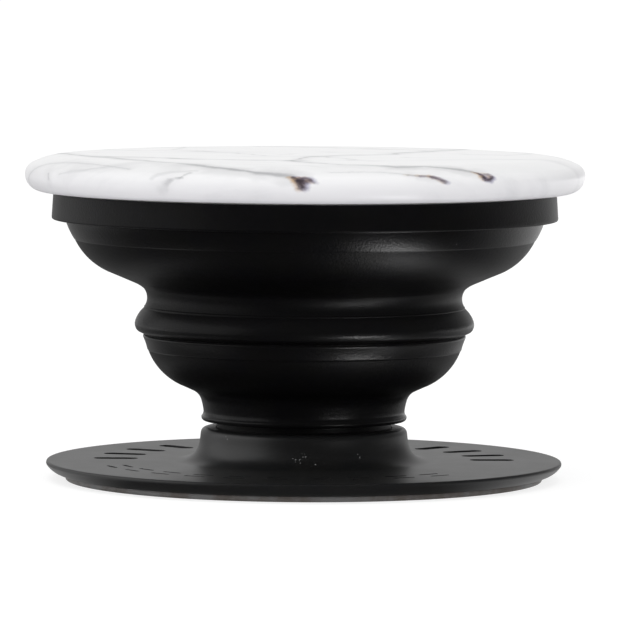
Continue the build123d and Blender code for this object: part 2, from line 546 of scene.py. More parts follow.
@dataclass(frozen=True)
class Dust:
    """A spot where dust has caught, in millimetres.

    Attributes:
        place: its middle.
        reach: how far it spreads.
        cover: share of the surface that it covers in the middle.
    """

    place: Triple
    reach: float
    cover: float


@dataclass(frozen=True)
class DarkFinish:
    """A moulded surface with a fine grain, faint stains and flecks of dust.

    Attributes:
        name: the material's name.
        colour: its colour.
        stain: the colour that it turns to in slow patches.
        dust: the colour of the flecks.
        roughness: how matt it is.
        spread: how much the roughness changes over the surface.
        specular: strength of its plain reflection.
        grain: grains to the millimetre.
        relief: depth of the grain.
        settled: share of fine dust on what faces up.
        flecks: share of the surface that stray flecks cover.
        spots: where more dust has caught.
        dull: how much more matt it is, and its reflection's strength, where the piece is marked dull.
    """

    # Levels and sizes that all such surfaces share
    STAINED: ClassVar[Point] = (0.4, 0.65)
    FACES_UP: ClassVar[Point] = (0.15, 0.7)
    FLECK_CELLS: ClassVar[float] = 5.5
    FLECK_EDGE: ClassVar[Point] = (0.34, 0.2)
    FLECK_CHOICE: ClassVar[Point] = (1.0, 1.02)
    FLECK_COVER: ClassVar[float] = 0.7
    FLECK_ROUGHNESS: ClassVar[float] = 0.3
    TEAR_SCALE: ClassVar[float] = 7.0
    TEAR_REACH: ClassVar[float] = 0.3
    SPOT_CORE: ClassVar[float] = 0.3
    GRAIN_STRENGTH: ClassVar[float] = 0.35

    name: str
    colour: Triple
    stain: Triple
    dust: Triple
    roughness: float
    spread: float
    specular: float
    grain: float
    relief: float
    settled: float = 0.0
    flecks: float = 0.0
    spots: tuple[Dust, ...] = ()
    dull: Optional[tuple[float, float]] = None

    def make(self) -> bpy.types.Material:
        """Builds the material.

        Returns:
            The material.
        """
        material, nodes = new_material(self.name, self.colour)
        place = millimetres(nodes)
        wear = nodes.noise(place, scale=0.4, detail=4.0, roughness=0.6)
        fleck = self._flecks(place)
        colour = nodes.mix(wear.band(*self.STAINED), self.colour, self.stain)
        upward = nodes.split(nodes.node("ShaderNodeTexCoord", output="Normal")).out("Z")
        colour = nodes.mix(upward.band(*self.FACES_UP) * self.settled, colour, self.dust)
        colour = nodes.mix(fleck * self.FLECK_COVER, colour, self.dust)
        rough = wear * self.spread + fleck * self.FLECK_ROUGHNESS + (self.roughness - self.spread / 2)
        shader = self._coat(place, colour, rough, self.specular)
        if self.dull is not None:
            more, specular = self.dull
            marked = nodes.node("ShaderNodeAttribute", {"attribute_name": DULL}, output="Fac")
            matt = self._coat(place, colour, rough + more, specular)
            shader = nodes.node("ShaderNodeMixShader", {}, {0: marked, 1: shader, 2: matt})
        nodes.node("ShaderNodeOutputMaterial", {}, {"Surface": shader})
        return material

    def _flecks(self, place: Value) -> Value:
        """Finds the ragged flecks of dust.

        Args:
            place: the place on the piece.

        Returns:
            1 on a fleck and 0 beside it.
        """
        nodes = place.nodes
        shift = nodes.scale(nodes.jitter(place, self.TEAR_SCALE), self.TEAR_REACH)
        torn = nodes.vector("ADD", place, shift)
        inputs = {"Vector": torn, "Scale": self.FLECK_CELLS, "Randomness": 1.0}
        cells = nodes.node("ShaderNodeTexVoronoi", {"feature": "F1"}, inputs, "Distance")
        chosen = nodes.node("ShaderNodeSeparateColor", {}, {0: cells.out("Color")})
        cover: Operand = self.flecks
        for spot in self.spots:
            away = nodes.vector("DISTANCE", place, spot.place, output="Value")
            cover = away.band(spot.reach, spot.reach * self.SPOT_CORE) * spot.cover + cover
        return cells.band(*self.FLECK_EDGE) * (chosen + cover).band(*self.FLECK_CHOICE)

    def _coat(self, place: Value, colour: Value, rough: Value, specular: float) -> Value:
        """Makes the surface itself, with its fine grain.

        Args:
            place: the place on the piece.
            colour: its colour there.
            rough: how matt it is there.
            specular: strength of its reflection.

        Returns:
            The shader.
        """
        nodes = place.nodes
        height = nodes.noise(place, self.grain)
        grain = {"Strength": self.GRAIN_STRENGTH, "Distance": self.relief * MM, "Height": height}
        inputs = {
            "Base Color": colour,
            "Roughness": rough,
            "Specular IOR Level": specular,
            "Normal": nodes.node("ShaderNodeBump", {}, grain),
        }
        return nodes.node("ShaderNodeBsdfPrincipled", {}, inputs)


RUBBER = DarkFinish(
    name="satin_rubber",
    colour=(0.0034, 0.0032, 0.004),
    stain=(0.0039, 0.0037, 0.0036),
    dust=(0.12, 0.12, 0.12),
    roughness=0.3,
    spread=0.06,
    specular=0.28,
    grain=6.0,
    relief=0.05,
    settled=0.03,
    flecks=0.0006,
    spots=(
        Dust((-13.6, -10.4, 18.7), 0.7, 0.15),
        Dust((-12.6, -10.4, 17.0), 0.25, 0.3),
        Dust((10.5, -13.1, 17.5), 0.2, 0.5),
    ),
    dull=(0.16, 0.17),
)
PLASTIC = DarkFinish(
    name="moulded_black",
    colour=(0.0058, 0.0061, 0.0069),
    stain=(0.0078, 0.0074, 0.0072),
    dust=(0.4, 0.4, 0.4),
    roughness=0.43,
    spread=0.08,
    specular=0.95,
    grain=7.0,
    relief=0.012,
    flecks=0.0015,
    spots=(
        Dust((-0.2, -7.6, 2.2), 0.7, 0.5),
        Dust((0.9, -8.0, 1.6), 0.5, 0.3),
        Dust((-5.5, -4.95, 3.3), 0.35, 0.6),
        Dust((-16.7, -7.7, 1.35), 0.25, 0.8),
        Dust((4.05, -6.4, 2.2), 0.45, 0.15),
    ),
)
GEL = DarkFinish(
    name="grey_gel",
    colour=(0.29, 0.288, 0.285),
    stain=(0.19, 0.168, 0.152),
    dust=(0.4, 0.4, 0.4),
    roughness=0.5,
    spread=0.08,
    specular=0.4,
    grain=3.0,
    relief=0.02,
)
GLUE = DarkFinish(
    name="set_glue",
    colour=(0.5, 0.5, 0.48),
    stain=(0.44, 0.43, 0.4),
    dust=(0.6, 0.6, 0.6),
    roughness=0.3,
    spread=0.05,
    specular=0.5,
    grain=3.0,
    relief=0.005,
)


class Outline:
    """The half section of a turned piece, walked run by run, in millimetres from the axis and the floor."""

    STEP: ClassVar[float] = 0.2
    LINE_STEPS: ClassVar[int] = 2
    ARC_STEPS: ClassVar[int] = 8
    ROUND_STEPS: ClassVar[int] = 16
    SOFT_STEPS: ClassVar[int] = 8
    TINY: ClassVar[float] = 1e-9

    def __init__(self, radius: float, height: float) -> None:
        """Starts the walk.

        Args:
            radius: the first point's distance from the axis.
            height: its height.
        """
        self.runs: list[list[Point]] = []
        self.softness: list[float] = []
        self.here: Point = (radius, height)

    def line(self, radius: float, height: float, soft: float = 0.0) -> "Outline":
        """Walks straight to a point; soft is how far the corner at its start is rounded back."""
        return self.arc(radius, height, 0.0, soft)

    def arc(self, radius: float, height: float, bulge: float, soft: float = 0.0) -> "Outline":
        """Walks along an arc to a point.

        Args:
            radius: the point's distance from the axis.
            height: the point's height.
            bulge: how far the arc's middle stands off the straight line, to the right of the walk.
            soft: how far the corner at the arc's start is rounded back.

        Returns:
            The outline, so that runs can follow each other.
        """
        (r0, z0), (r1, z1) = self.here, (radius, height)
        chord = math.hypot(r1 - r0, z1 - z0)
        count = max(self.ARC_STEPS if bulge else self.LINE_STEPS, math.ceil(chord / self.STEP))
        across = ((z1 - z0) / chord, -(r1 - r0) / chord)
        run: list[Point] = []
        bend = 0.0 if abs(bulge) < self.TINY else (chord * chord / 4 + bulge * bulge) / (2 * bulge)
        for i in range(count + 1):
            t = i / count
            off = 0.0
            if bend:
                x = (t - 0.5) * chord
                off = math.copysign(math.sqrt(bend * bend - x * x), bend) - (bend - bulge)
            run.append((r0 + (r1 - r0) * t + across[0] * off, z0 + (z1 - z0) * t + across[1] * off))
        self.runs.append(run)
        self.softness.append(soft)
        self.here = (radius, height)
        return self

    def round(self, centre: Point, radius: float, first: float, last: float) -> "Outline":
        """Walks along part of a circle.

        Args:
            centre: the circle's middle.
            radius: its radius.
            first: the angle to start at, in degrees from the outward direction.
            last: the angle to end at.

        Returns:
            The outline.
        """
        count = self.ROUND_STEPS
        angles = [math.radians(first + (last - first) * i / count) for i in range(count + 1)]
        run = [(centre[0] + radius * math.cos(a), centre[1] + radius * math.sin(a)) for a in angles]
        self.runs.append(run)
        self.softness.append(0.0)
        self.here = run[-1]
        return self

    def points(self) -> list[Point]:
        """Gives the whole walk as points, with the soft corners rounded.

        Returns:
            The points, from the walk's start to its end.
        """
        walk = list(self.runs[0])
        for run, soft in zip(self.runs[1:], self.softness[1:]):
            if soft <= 0:
                walk.extend(run[1:])
                continue
            corner = run[0]
            before = self._cut(walk[::-1], soft)[::-1]
            after = self._cut(run, soft)
            a, b = before[-1], after[0]
            for i in range(1, self.SOFT_STEPS):
                t = i / self.SOFT_STEPS
                weights = ((1 - t) ** 2, 2 * t * (1 - t), t * t)
                before.append(tuple(sum(w * p[k] for w, p in zip(weights, (a, corner, b))) for k in (0, 1)))
            walk = before + after
        return walk

    @staticmethod
    def _cut(run: Sequence[Point], length: float) -> list[Point]:
        """Takes a length off the start of a run of points.

        Args:
            run: the points.
            length: the length to take off.

        Returns:
            The rest of the run.
        """
        left = length
        for i, (p, q) in enumerate(zip(run, run[1:])):
            size = math.dist(p, q)
            if size > left:
                t = left / size
                return [(p[0] + (q[0] - p[0]) * t, p[1] + (q[1] - p[1]) * t), *run[i + 1:]]
            left -= size
        return [run[-1]]


class GeometryTree:
    """A Geometry Nodes tree with named inputs, run once on an object and turned into a plain mesh."""

    def __init__(self, name: str, inputs: dict[str, str]) -> None:
        """Starts a tree.

        Args:
            name: the tree's name.
            inputs: names and socket types of its inputs, besides the geometry.
        """
        self.tree = bpy.data.node_groups.new(name, "GeometryNodeTree")
        self.nodes = Nodes(self.tree)
        side = self.tree.interface
        side.new_socket("Geometry", in_out="INPUT", socket_type="NodeSocketGeometry")
        for label, kind in inputs.items():
            side.new_socket(label, in_out="INPUT", socket_type=kind)
        side.new_socket("Geometry", in_out="OUTPUT", socket_type="NodeSocketGeometry")
        self.given = self.nodes.node("NodeGroupInput")

    def __getitem__(self, label: str) -> Value:
        """Gives one of the tree's inputs."""
        return self.given.out(label)

    def on_circle(self, radius: Value, angle: Value, level: Value) -> Value:
        """Finds a place round the Z axis.

        Args:
            radius: its distance from the axis.
            angle: its direction, in radians.
            level: its height.

        Returns:
            The place.
        """
        inputs = {0: radius * angle.math("COSINE"), 1: radius * angle.math("SINE"), 2: level}
        return self.nodes.node("ShaderNodeCombineXYZ", {}, inputs)

    def end(self, geometry: Value) -> None:
        """Ends the tree in real, dressed faces.

        Args:
            geometry: what the tree has made.
        """
        real = self.nodes.node("GeometryNodeRealizeInstances", {}, {0: geometry})
        dressed = self.nodes.node("GeometryNodeSetMaterial", {}, {0: real, "Material": self["Material"]})
        self.nodes.node("NodeGroupOutput", {}, {0: dressed})

    def put_on(self, piece: bpy.types.Object, values: dict[str, Any]) -> None:
        """Adds the tree to an object as a modifier, with its inputs set.

        Args:
            piece: the object.
            values: names of the inputs with their values.
        """
        modifier = piece.modifiers.new(self.tree.name, "NODES")
        modifier.node_group = self.tree
        for item in self.tree.interface.items_tree:
            if item.in_out == "INPUT" and item.name in values:
                modifier[item.identifier] = values[item.name]


class TurnedTree(GeometryTree):
    """Turns a half section round the Z axis."""

    WELD: ClassVar[float] = 0.001

    def __init__(self) -> None:
        """Builds the tree: a grid whose rows take the section's points and whose columns go round."""
        super().__init__("turned_piece", {"Segments": "NodeSocketInt", "Material": "NodeSocketMaterial"})
        n = self.nodes
        rows = n.node("GeometryNodeAttributeDomainSize", {"component": "MESH"}, {0: self["Geometry"]})
        sides = {"Vertices X": self["Segments"] + 1, "Vertices Y": rows}
        grid = n.node("GeometryNodeMeshGrid", {}, sides)
        index = n.node("GeometryNodeInputIndex")
        row = index % rows
        column = (index / rows).math("FLOOR")
        section = n.node(
            "GeometryNodeSampleIndex",
            {"data_type": "FLOAT_VECTOR", "domain": "POINT"},
            {0: self["Geometry"], "Value": n.node("GeometryNodeInputPosition"), "Index": row},
        )
        radius = n.split(section)
        place = self.on_circle(radius, column / self["Segments"] * math.tau, radius.out("Z"))
        bent = n.node("GeometryNodeSetPosition", {}, {0: grid, "Position": place})
        closed = n.node("GeometryNodeMergeByDistance", {}, {0: bent, "Distance": self.WELD})
        self.end(n.node("GeometryNodeSetShadeSmooth", {}, {0: closed, "Shade Smooth": True}))


class SunkMarksTree(GeometryTree):
    """Sinks a row of round-ended marks into a flat face, along an arc about the Z axis."""

    END_SIDES: ClassVar[int] = 20

    def __init__(self) -> None:
        """Builds the tree: round-ended cutters on points along the arc, taken out of the piece."""
        numbers = ("Radius", "Middle", "Span", "Length", "Width", "Depth", "Level", "Turn")
        inputs = {"Count": "NodeSocketInt", **{name: "NodeSocketFloat" for name in numbers}}
        super().__init__("sunk_marks", {**inputs, "Material": "NodeSocketMaterial"})
        n = self.nodes
        index = n.node("GeometryNodeInputIndex")
        share = index / (self["Count"] - 1)
        angle = self["Middle"] + (share - 0.5) * self["Span"]
        place = self.on_circle(self["Radius"], angle, self["Level"])
        points = n.node("GeometryNodePoints", {}, {"Count": self["Count"], "Position": place})
        facing = n.node("ShaderNodeCombineXYZ", {}, {2: angle + self["Turn"]})
        sizes = {"Vertices": self.END_SIDES, "Radius": self["Width"] / 2, "Depth": self["Depth"] * 2}
        round_end = n.node("GeometryNodeMeshCylinder", {"fill_type": "NGON"}, sizes)
        shift = (self["Length"] - self["Width"]) / 2
        ends = n.node("GeometryNodeJoinGeometry")
        for side in (shift, shift * -1):
            offset = n.node("ShaderNodeCombineXYZ", {}, {0: side})
            moved = n.node("GeometryNodeTransform", {}, {0: round_end, "Translation": offset})
            n.tree.links.new(moved.socket, ends.socket.node.inputs[0])
        cutter = n.node("GeometryNodeConvexHull", {}, {0: ends})
        cutters = {"Points": points, "Instance": cutter, "Rotation": facing}
        row = n.node("GeometryNodeInstanceOnPoints", {}, cutters)
        real = n.node("GeometryNodeRealizeInstances", {}, {0: row})
        meshes = {"Mesh 1": self["Geometry"], "Mesh 2": real}
        self.end(n.node("GeometryNodeMeshBoolean", {"operation": "DIFFERENCE"}, meshes))


@dataclass(frozen=True)
class MarkRow:
    """A row of sunk marks along an arc about the axis, in millimetres and degrees.

    Attributes:
        count: marks in the row.
        radius: distance of their middles from the axis.
        middle: direction of the row's middle.
        span: angle from the first mark to the last.
        length: length of a mark.
        width: its width.
        turn: its angle to its radius.
    """

    count: int
    radius: float
    middle: float
    span: float
    length: float
    width: float
    turn: float

    def inputs(self, depth: float, level: float) -> dict[str, Number]:
        """Gives the sinking tree's inputs for the row.

        Args:
            depth: how deep the marks are.
            level: height of the face that they are sunk into.

        Returns:
            Names of the inputs with their values.
        """
        return {
            "Count": self.count,
            "Radius": self.radius,
            "Middle": math.radians(self.middle),
            "Span": math.radians(self.span),
            "Length": self.length,
            "Width": self.width,
            "Depth": depth,
            "Level": level,
            "Turn": math.radians(self.turn),
        }


@dataclass
class Workshop:
    """The trees that all pieces share, and the way a piece is finished.

    Attributes:
        segments: columns of faces round a turned piece.
        smooth_angle: corners sharper than this stay sharp, in degrees.
        joined: ends of a section that are closer than this are one point, in millimetres.
        sliver: edges shorter than this are taken out, in millimetres.
        turned: the tree that turns a half section.
        marks: the tree that sinks a row of marks.
    """

    segments: int = 172
    smooth_angle: float = 32.0
    joined: float = 1e-6
    sliver: float = 0.0001
    turned: TurnedTree = field(default_factory=TurnedTree)
    marks: SunkMarksTree = field(default_factory=SunkMarksTree)

    def make(
        self,
        name: str,
        outline: Outline,
        material: bpy.types.Material,
        closed: bool = True,
        marks: Sequence[dict[str, Number]] = (),
    ) -> bpy.types.Object:
        """Turns a half section into a finished piece.

        Args:
            name: the piece's name.
            outline: the half section.
            material: the piece's finish.
            closed: whether the section's end joins its start.
            marks: the sinking tree's inputs for each row of sunk marks.

        Returns:
            The piece, at the origin.
        """
        holder = self._section(name, outline, closed)
        self.turned.put_on(holder, {"Segments": self.segments, "Material": material})
        for row in marks:
            self.marks.put_on(holder, {**row, "Material": material})
        return self._finish(holder, name)

    def _section(self, name: str, outline: Outline, closed: bool) -> bpy.types.Object:
        """Makes the object that holds a half section.

        Args:
            name: the piece's name.
            outline: the half section.
            closed: whether its end joins its start.

        Returns:
            An object of points and edges in the X-Z plane, in millimetres.
        """
        points = outline.points()
        if closed and math.dist(points[0], points[-1]) > self.joined:
            points.append(points[0])
        mesh = bpy.data.meshes.new(name + "_section")
        edges = [(i, i + 1) for i in range(len(points) - 1)]
        mesh.from_pydata([(r, 0.0, z) for r, z in points], edges, [])
        holder = bpy.data.objects.new(name + "_section", mesh)
        bpy.context.scene.collection.objects.link(holder)
        return holder

    def _finish(self, holder: bpy.types.Object, name: str) -> bpy.types.Object:
        """Turns what the trees make into a plain mesh and removes the holder.

        Args:
            holder: the object that carries the trees.
            name: the finished piece's name.

        Returns:
            The finished piece, at the origin.
        """
        graph = bpy.context.evaluated_depsgraph_get()
        mesh = bpy.data.meshes.new_from_object(holder.evaluated_get(graph))
        mesh.name = name
        sheet = holder.data
        holder.modifiers.clear()
        bpy.data.objects.remove(holder)
        bpy.data.meshes.remove(sheet)
        work = bmesh.new()
        work.from_mesh(mesh)
        bmesh.ops.dissolve_degenerate(work, dist=self.sliver, edges=work.edges)
        bmesh.ops.recalc_face_normals(work, faces=work.faces)
        bmesh.ops.scale(work, vec=(MM, MM, MM), verts=work.verts)
        work.to_mesh(mesh)
        work.free()
        mesh.set_sharp_from_angle(angle=math.radians(self.smooth_angle))
        piece = bpy.data.objects.new(name, mesh)
        bpy.context.scene.collection.objects.link(piece)
        return piece


def between(profile: Sequence[Point], place: float) -> float:
    """Reads a value off a line through points.

    Args:
        profile: places, from low to high, with their values.
        place: where to read it.

    Returns:
        The value there; beyond the ends, the end's value.
    """
    if place <= profile[0][0]:
        return profile[0][1]
    for (near, low), (far, high) in zip(profile, profile[1:]):
        if place <= far:
            return low + (high - low) * (place - near) / (far - near)
    return profile[-1][1]


def seat(piece: bpy.types.Object, body: Optional[Body], node: str) -> None:
    """Ties a finished piece to its body and hides the CAD node that it stands for.

    Args:
        piece: the piece.
        body: the body that it rides on, or None for none.
        node: the CAD node that it stands for.
    """
    if body is not None:
        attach(piece, body.value)
    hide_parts(node)
    log.info("%s: %d faces", piece.name, len(piece.data.polygons))


@dataclass
class Base:
    """Sticky pad, plate and collar, in millimetres."""

    shop: Workshop
    pad_radius: float = 17.1
    pad_thickness: float = 0.4
    pad_edge: float = 0.06
    pad_bulge: float = 0.055
    plate_radius: float = 18.45
    plate_top: float = 1.35
    edge_setback: float = 1.1
    edge_land: float = 0.25
    edge_bulge: float = 0.14
    collar_foot_radius: float = 7.6
    collar_top: float = 3.7
    collar_draft: float = 6.0
    foot_round: float = 1.575
    top_round: float = 0.42
    bore: float = 6.3
    chamber: float = 7.45
    shoulder: float = 1.7
    mark_depth: float = 0.2
    rows: tuple[MarkRow, ...] = (
        MarkRow(count=13, radius=13.5, middle=90.0, span=176.0, length=3.2, width=1.15, turn=0.0),
        MarkRow(count=10, radius=14.8, middle=257.0, span=106.0, length=1.7, width=0.3, turn=90.0),
        MarkRow(count=10, radius=13.6, middle=257.0, span=106.0, length=1.7, width=0.3, turn=90.0),
    )

    def build(self) -> None:
        """Builds the pad and the plate."""
        self._pad()
        self._plate()

    def _pad(self) -> None:
        """Thin gel disc with a slightly bulged edge."""
        outline = Outline(0.0, 0.0)
        outline.line(self.pad_radius - self.pad_edge, 0.0)
        outline.arc(self.pad_radius - self.pad_edge, self.pad_thickness, self.pad_bulge)
        outline.line(0.0, self.pad_thickness)
        piece = self.shop.make("gel_pad", outline, GEL.make(), closed=False)
        seat(piece, Body.BASE, "adhesive_pad")

    def _plate(self) -> None:
        """Plate with bevelled edge, collar and sunk marks."""
        lean = math.tan(math.radians(self.collar_draft))
        collar_top_radius = self.collar_foot_radius - lean * (self.collar_top - self.plate_top)
        low = self.pad_thickness
        outline = Outline(self.chamber, low)
        outline.line(self.plate_radius - self.edge_setback, low)
        outline.arc(self.plate_radius, self.plate_top - self.edge_land, self.edge_bulge)
        outline.line(self.plate_radius, self.plate_top, soft=0.06)
        outline.line(self.collar_foot_radius, self.plate_top, soft=0.17)
        outline.line(collar_top_radius, self.collar_top, self.foot_round)
        outline.line(self.bore, self.collar_top, self.top_round)
        outline.line(self.bore, self.shoulder, soft=0.08)
        outline.line(self.chamber, self.shoulder)
        outline.line(self.chamber, low)
        marks = [row.inputs(self.mark_depth, self.plate_top) for row in self.rows]
        piece = self.shop.make("base_plate_dressed", outline, PLASTIC.make(), marks=marks)
        seat(piece, Body.BASE, "base_plate")


@dataclass
class Accordion:
    """The soft moulding, in millimetres."""

    shop: Workshop
    tail_bottom: float = 0.55
    tail_radius: float = 6.25
    tail_bore: float = 4.95
    lip_radius: float = 7.2
    lip_top: float = 1.55
    lip_lead: float = 0.5
    rim_bottom: float = 4.2
    rim_top: float = 4.7
    rim_radius: float = 7.195
    rim_bulge: float = 0.167
    neck_radius: float = 7.18
    lower_hinge: Point = (7.55, 6.18)
    lower_floor: Point = (8.6, 6.67)
    lower_crease: Point = (11.24, 9.24)
    ring_root: Point = (11.59, 10.29)
    root_groove: Point = (0.17, 0.1)
    ring_skirt: Point = (11.97, 10.64)
    ring_side: Point = (12.15, 11.2)
    ring_crown: Point = (11.47, 12.27)
    crown_bead: Point = (0.06, 0.15)
    ring_bulges: Triple = (0.05, 0.1, 0.035)
    waist_hollow: float = 0.33
    waist_inset: float = 0.55
    upper_hinge: Point = (11.85, 13.95)
    upper_floor: Point = (13.75, 14.76)
    upper_crease: Point = (16.5, 17.15)
    band_top: Point = (17.13, 18.6)
    flange_radius: float = 18.1
    flange_taper: float = 0.12
    flange_top: float = 20.49
    flange_bore: float = 16.4
    wall: float = 1.1
    hinge_wall: float = 0.75
    crease: float = 0.06
    lower_bulge: float = 0.4
    upper_bulge: float = 0.36
    band_bulge: float = 0.055
    band_hollow: float = 0.03
    fold_start: float = 3.0
    bowl_dull: float = 1.0
    flange_dull: float = 1.0
    ring_dull: float = 0.6
    band_dull: float = 0.25
    neck_dull: float = 0.4
    dull_edge: float = 0.02
    neck_fade: float = 0.3
    root_fade: float = 0.1
    crown_fade: float = 0.8

    def build(self) -> None:
        """Builds the moulding between the base and the button; it rides on no body."""
        outline = Outline(self.tail_bore, self.tail_bottom)
        self._outside(outline)
        self._inside(outline)
        piece = self.shop.make("accordion_moulding", outline, RUBBER.make())
        self._mark_dull(piece)
        start, end = (0.0, 0.0, self.fold_start * MM), (0.0, 0.0, self.flange_top * MM)
        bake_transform(piece)
        seat(piece, None, "accordion")

    def _mark_dull(self, piece: bpy.types.Object) -> None:
        """Marks how dull each height is, for the finish: fingers polish only what stands out.

        Args:
            piece: the moulding.
        """
        edge = self.dull_edge
        profile = (
            (self.rim_bottom - edge, 1.0),
            (self.rim_bottom + edge, 0.0),
            (self.rim_top, 0.0),
            (self.rim_top + self.neck_fade, self.neck_dull),
            (self.lower_hinge[1], self.neck_dull),
            (self.lower_floor[1], self.bowl_dull),
            (self.lower_crease[1] - edge, self.bowl_dull),
            (self.lower_crease[1] + 2 * edge, self.band_dull),
            (self.ring_root[1] - edge, self.band_dull),
            (self.ring_root[1] + self.root_fade, self.ring_dull),
            (self.ring_crown[1] - self.crown_fade, self.ring_dull),
            (self.ring_crown[1], 1.0),
            (self.upper_hinge[1], 1.0),
            (self.upper_floor[1], self.bowl_dull),
            (self.upper_crease[1] - edge, self.bowl_dull),
            (self.upper_crease[1] + 2 * edge, self.band_dull),
            (self.band_top[1] - edge, self.band_dull),
            (self.band_top[1] + edge, self.flange_dull),
        )
        marks = piece.data.attributes.new(DULL, "FLOAT", "POINT")
        for vertex, mark in zip(piece.data.vertices, marks.data):
            mark.value = between(profile, vertex.co.z / MM)

    def _outside(self, outline: Outline) -> None:
        """Walks up the outside, from the tail to the top of the flange.

        Args:
            outline: the section so far.
        """
        c = self.crease
        side, crown, bead = self.ring_bulges
        outline.line(self.lip_radius - self.lip_lead, self.tail_bottom)
        outline.line(self.lip_radius, self.tail_bottom + self.lip_lead, soft=0.08)
        outline.line(self.lip_radius, self.lip_top, soft=0.08)
        outline.line(self.tail_radius, self.lip_top, soft=0.08)
        outline.line(self.tail_radius, self.rim_bottom)
        outline.line(self.rim_radius, self.rim_bottom)
        outline.arc(self.neck_radius, self.rim_top, self.rim_bulge, soft=0.06)
        outline.arc(*self.lower_hinge, -c, soft=0.24)
        outline.line(*self.lower_floor, soft=0.5)
        outline.arc(self.lower_crease[0] - c, self.lower_crease[1], self.lower_bulge, soft=0.4)
        outline.line(self.lower_crease[0], self.lower_crease[1] + c, soft=0.05)
        outline.arc(*self.ring_root, -self.band_hollow, soft=0.06)
        inward, upward = self.root_groove
        outline.line(self.ring_root[0] - inward, self.ring_root[1] + upward, soft=0.14)
        outline.line(*self.ring_skirt, soft=0.04)
        outline.arc(*self.ring_side, side, soft=0.12)
        outline.arc(*self.ring_crown, crown, soft=0.14)
        inward, upward = self.crown_bead
        outline.arc(self.ring_crown[0] - inward, self.ring_crown[1] + upward, bead, soft=0.03)
        outline.arc(*self.upper_hinge, -self.waist_hollow, soft=0.05)
        outline.line(*self.upper_floor, soft=0.4)
        outline.arc(self.upper_crease[0] - c, self.upper_crease[1], self.upper_bulge, soft=0.5)
        outline.line(self.upper_crease[0], self.upper_crease[1] + c, soft=0.05)
        outline.arc(*self.band_top, self.band_bulge, soft=0.05)
        outline.line(self.flange_radius, self.band_top[1], soft=0.1)
        outline.line(self.flange_radius - self.flange_taper, self.flange_top, soft=0.18)
        outline.line(self.flange_bore, self.flange_top, soft=0.05)

    def _inside(self, outline: Outline) -> None:
        """Walks back down the inside, from the flange to the tail.

        Args:
            outline: the section so far.
        """
        w, half = self.wall, self.wall / 2
        outline.line(self.flange_bore, self.band_top[1] + half)
        outline.line(self.upper_crease[0] - w, self.upper_crease[1] + half, soft=0.2)
        outline.arc(self.upper_floor[0] - half, self.upper_floor[1] + w, -self.upper_bulge, soft=0.2)
        outline.line(self.upper_hinge[0] - half, self.upper_hinge[1] + w, soft=0.2)
        waist = self.upper_hinge[0] - self.waist_inset - self.hinge_wall
        outline.line(waist, self.upper_hinge[1], soft=0.15)
        outline.line(waist, self.ring_crown[1], soft=0.15)
        outline.line(self.lower_crease[0] - w, self.ring_root[1], soft=0.15)
        outline.line(self.lower_crease[0] - w, self.lower_crease[1] + half, soft=0.15)
        outline.arc(self.lower_floor[0] - half, self.lower_floor[1] + w, -self.lower_bulge, soft=0.15)
        outline.line(self.lower_hinge[0] - half, self.lower_hinge[1] + w, soft=0.2)
        neck = self.neck_radius - self.hinge_wall
        outline.line(neck, self.lower_hinge[1], soft=0.15)
        outline.line(neck, self.rim_top, soft=0.15)
        outline.line(self.tail_bore, self.rim_bottom, soft=0.15)
        outline.line(self.tail_bore, self.tail_bottom, soft=0.1)


@dataclass
class Button:
    """Glue ring and marble disc, in millimetres."""

    shop: Workshop
    flange_top: float = Accordion.flange_top
    glue_radii: Point = (16.65, 17.73)
    glue_thickness: float = 0.12
    radius: float = 19.999
    middle: float = 21.82
    top: float = 23.169
    shoulder: float = 2.8
    edge_round: float = 0.9
    recess_depth: float = 1.2
    ring_height: float = 0.8
    ring_radii: Point = (15.15, 16.25)

    def build(self) -> None:
        """Builds the glue ring and the disc."""
        self._glue()
        self._disc()

    def _glue(self) -> None:
        """Thin ring of glue between flange and disc."""
        low, high = self.flange_top, self.flange_top + self.glue_thickness
        near, far = self.glue_radii
        outline = Outline(near, low)
        outline.line(far, low).line(far, high).line(near, high).line(near, low)
        seat(self.shop.make("glue_ring", outline, GLUE.make()), Body.BUTTON, "bond_ring")

    def _disc(self) -> None:
        """Disc with a rounded edge, hollowed below, with the ring that sits inside the flange."""
        bottom = self.flange_top + self.glue_thickness
        recess = bottom + self.recess_depth
        near, far = self.ring_radii
        outline = Outline(0.0, recess)
        outline.line(near, recess)
        outline.line(near, bottom - self.ring_height, soft=0.1)
        outline.line(far, bottom - self.ring_height, soft=0.08)
        outline.line(far, bottom, soft=0.08)
        under = self.middle - bottom
        outline.line(self.radius - under, bottom)
        outline.round((self.radius - under, self.middle), under, -90.0, 0.0)
        rise, reach = self.top - self.middle, self.shoulder - self.edge_round
        wide = (reach**2 + rise**2 - self.edge_round**2) / (2 * (rise - self.edge_round))
        turn = math.degrees(math.atan2(wide - rise, reach))
        outline.round((self.radius - self.edge_round, self.middle), self.edge_round, 0.0, turn)
        outline.round((self.radius - self.shoulder, self.top - wide), wide, turn, 90.0)
        outline.line(0.0, self.top)
        piece = self.shop.make("marble_disc", outline, MarbleFinish().make(), closed=False)
        seat(piece, Body.BUTTON, "top_disc")


